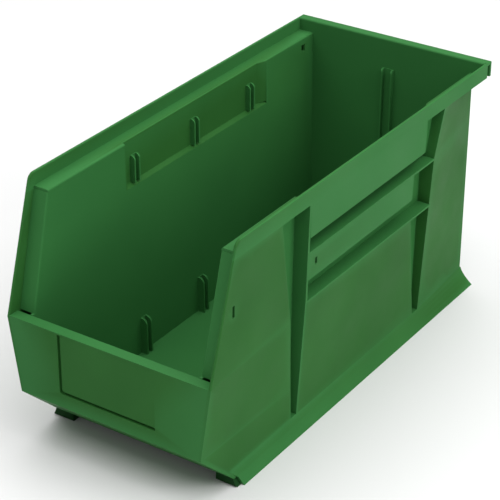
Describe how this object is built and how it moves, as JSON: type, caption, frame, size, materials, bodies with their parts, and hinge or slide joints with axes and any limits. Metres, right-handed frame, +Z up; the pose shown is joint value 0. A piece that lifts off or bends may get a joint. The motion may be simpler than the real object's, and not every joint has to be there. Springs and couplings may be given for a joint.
{
  "type": "stackable storage bin",
  "caption": "Open-topped plastic storage bin with a low hopper front, stacking ledges inside the side rims and a rear lip for hanging.",
  "frame": {"origin": "middle of the footprint, on the face the bin rests on", "axes": "+X to the bin's right seen from the front, the hopper front faces -Y, +Z up"},
  "size_m": [0.2096, 0.4626, 0.242],
  "materials": {
    "green_plastic": "moulded polypropylene, fine satin texture, no paint"
  },
  "bodies": {
    "root": {"back_guide": "green_plastic", "back_wall": "green_plastic", "chin_panel": "green_plastic", "floor_panel": "green_plastic", "hanger_lip": "green_plastic", "left_front_foot": "green_plastic", "left_front_panel_web": "green_plastic", "left_front_side_panel": "green_plastic", "left_front_strip": "green_plastic", "left_lower_guide_front": "green_plastic", "left_lower_guide_middle": "green_plastic", "left_lower_guide_rear": "green_plastic", "left_lower_shelf": "green_plastic", "left_lower_side_panel": "green_plastic", "left_middle_band": "green_plastic", "left_rear_panel_web": "green_plastic", "left_rear_side_panel": "green_plastic", "left_recess_tray": "green_plastic", "left_rim_lip": "green_plastic", "left_shelf_web": "green_plastic", "left_side_skirt": "green_plastic", "left_stacking_ledge": "green_plastic", "left_tub_wall": "green_plastic", "left_upper_band": "green_plastic", "left_upper_guide_front": "green_plastic", "left_upper_guide_middle": "green_plastic", "left_upper_guide_rear": "green_plastic", "left_upper_shelf": "green_plastic", "nose_ledge": "green_plastic", "nose_panel": "green_plastic", "rear_flange": "green_plastic", "rear_rim_wall": "green_plastic", "rear_skirt": "green_plastic", "right_front_foot": "green_plastic", "right_front_panel_web": "green_plastic", "right_front_side_panel": "green_plastic", "right_front_strip": "green_plastic", "right_lower_guide_front": "green_plastic", "right_lower_guide_middle": "green_plastic", "right_lower_guide_rear": "green_plastic", "right_lower_shelf": "green_plastic", "right_lower_side_panel": "green_plastic", "right_middle_band": "green_plastic", "right_rear_panel_web": "green_plastic", "right_rear_side_panel": "green_plastic", "right_recess_tray": "green_plastic", "right_rim_lip": "green_plastic", "right_shelf_web": "green_plastic", "right_side_skirt": "green_plastic", "right_stacking_ledge": "green_plastic", "right_tub_wall": "green_plastic", "right_upper_band": "green_plastic", "right_upper_guide_front": "green_plastic", "right_upper_guide_middle": "green_plastic", "right_upper_guide_rear": "green_plastic", "right_upper_shelf": "green_plastic", "tub_front": "green_plastic"}
  },
  "joints": []
}
